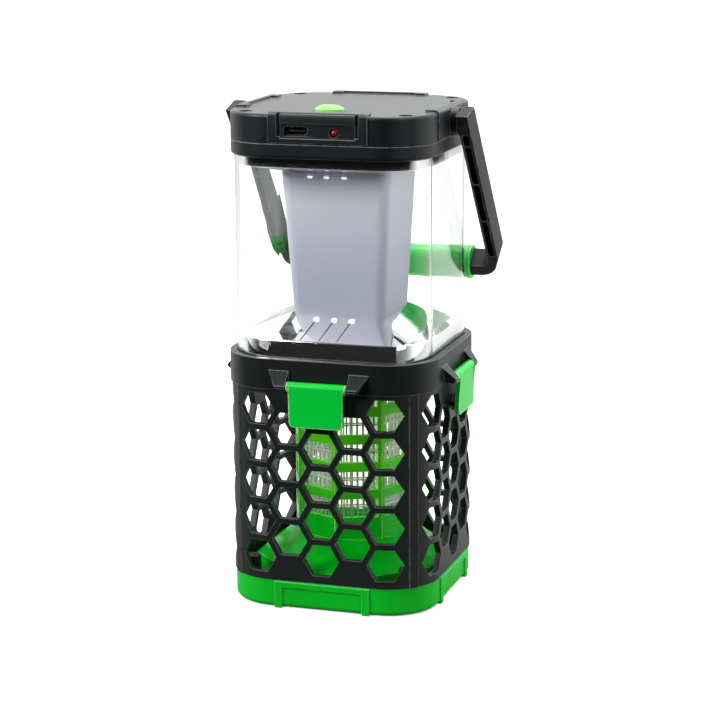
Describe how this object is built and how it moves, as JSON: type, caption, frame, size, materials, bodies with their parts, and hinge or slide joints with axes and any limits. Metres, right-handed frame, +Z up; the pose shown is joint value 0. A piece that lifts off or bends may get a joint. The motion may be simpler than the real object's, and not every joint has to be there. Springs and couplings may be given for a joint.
{
  "type": "electric bug zapper",
  "caption": "Camping lantern with a bug zapper below: caged grid over a catch tray, clear window with mirrored reflectors, cap with button and a folding handle.",
  "frame": {"origin": "middle of the tray's flat underside, on the surface it stands on", "axes": "+Z up, the charging socket faces -Y, the handle's pivots lie along X and it leans towards +Y"},
  "size_m": [0.0978, 0.1024, 0.1955],
  "materials": {
    "green_tray": "moulded, slightly glossy",
    "green_funnel": "moulded, glossy",
    "green_latch": "moulded, satin with bright rounded edges",
    "green_frame": "moulded, slightly translucent",
    "green_button": "moulded, glossy",
    "green_grip": "moulded, glossy",
    "black_cage": "moulded, satin",
    "black_collar": "moulded, satin",
    "black_cap": "moulded, fine texture",
    "black_handle": "moulded, fine texture",
    "grid_wire": "drawn wire, plated",
    "steel_pin": "turned",
    "steel_screw": "zinc plated",
    "dark_screw": "blackened",
    "white_plastic": "moulded, plain",
    "uv_lens": "clear lens with a violet tint",
    "circuit_board": "green solder mask",
    "transformer_tape": "yellow winding tape",
    "capacitor_sleeve": "shrunk sleeve",
    "gasket_rubber": "soft foam",
    "mirror_chrome": "vacuum plated plastic, mirror bright",
    "clear_window": "clear moulded plastic, polished",
    "frosted_shade": "frosted, lets light through",
    "lamp_board": "white solder mask on aluminium",
    "lamp_phosphor": "yellow phosphor",
    "battery_foil": "laminated foil pouch",
    "socket_shell": "rolled and plated",
    "red_lens": "tinted, domed",
    "switch_body": "moulded, plain"
  },
  "bodies": {
    "lantern": {"base_tray": "green_tray", "bug_funnel": "green_funnel", "base_screws": "steel_screw", "grille_cage": "black_cage", "collar": "black_collar", "latch_pins": "steel_pin", "zapper_frame": "green_frame", "outer_grid": "grid_wire", "inner_grid": "grid_wire", "uv_lamp_post": "white_plastic", "uv_leds": "uv_lens", "high_voltage_board": "circuit_board", "step_up_transformer": "transformer_tape", "storage_capacitors": "capacitor_sleeve", "window_gasket": "gasket_rubber", "lower_reflector": "mirror_chrome", "clear_window": "clear_window", "diffuser": "frosted_shade", "upper_reflector": "mirror_chrome", "lamp_board": "lamp_board", "lamp_leds": "lamp_phosphor", "wire_conduit": "white_plastic", "cap_base": "black_cap", "battery_pack": "battery_foil", "main_board": "circuit_board", "usb_c_socket": "socket_shell", "status_led": "red_lens", "tact_switch": "switch_body", "cap_cover": "black_cap", "cap_screws": "dark_screw", "handle_pivots": "steel_pin"},
    "latch_front": {"latch_front": "green_latch"},
    "latch_right": {"latch_right": "green_latch"},
    "latch_back": {"latch_back": "green_latch"},
    "latch_left": {"latch_left": "green_latch"},
    "button": {"power_button": "green_button", "switch_plunger": "white_plastic"},
    "handle": {"handle_bail": "black_handle", "handle_grip": "green_grip"}
  },
  "joints": [
    {"name": "handle_hinge", "type": "hinge", "parent": "lantern", "child": "handle", "pos_m": [0, 0, 0.1875], "axis": [1, 0, 0], "range_deg": [0, 284.8]},
    {"name": "latch_front_hinge", "type": "hinge", "parent": "lantern", "child": "latch_front", "pos_m": [0, -0.0449, 0.0899], "axis": [-1, 0, 0], "range_deg": [0, 135]},
    {"name": "latch_right_hinge", "type": "hinge", "parent": "lantern", "child": "latch_right", "pos_m": [0.0449, 0, 0.0899], "axis": [0, -1, 0], "range_deg": [0, 135]},
    {"name": "latch_back_hinge", "type": "hinge", "parent": "lantern", "child": "latch_back", "pos_m": [0, 0.0449, 0.0899], "axis": [1, 0, 0], "range_deg": [0, 135]},
    {"name": "latch_left_hinge", "type": "hinge", "parent": "lantern", "child": "latch_left", "pos_m": [-0.0449, 0, 0.0899], "axis": [0, 1, 0], "range_deg": [0, 135]},
    {"name": "button_press", "type": "slide", "parent": "lantern", "child": "button", "axis": [0, 0, -1], "range_m": [0, 0.0008], "stiffness_N_per_m": 1500, "springref_m": -0.0004}
  ]
}
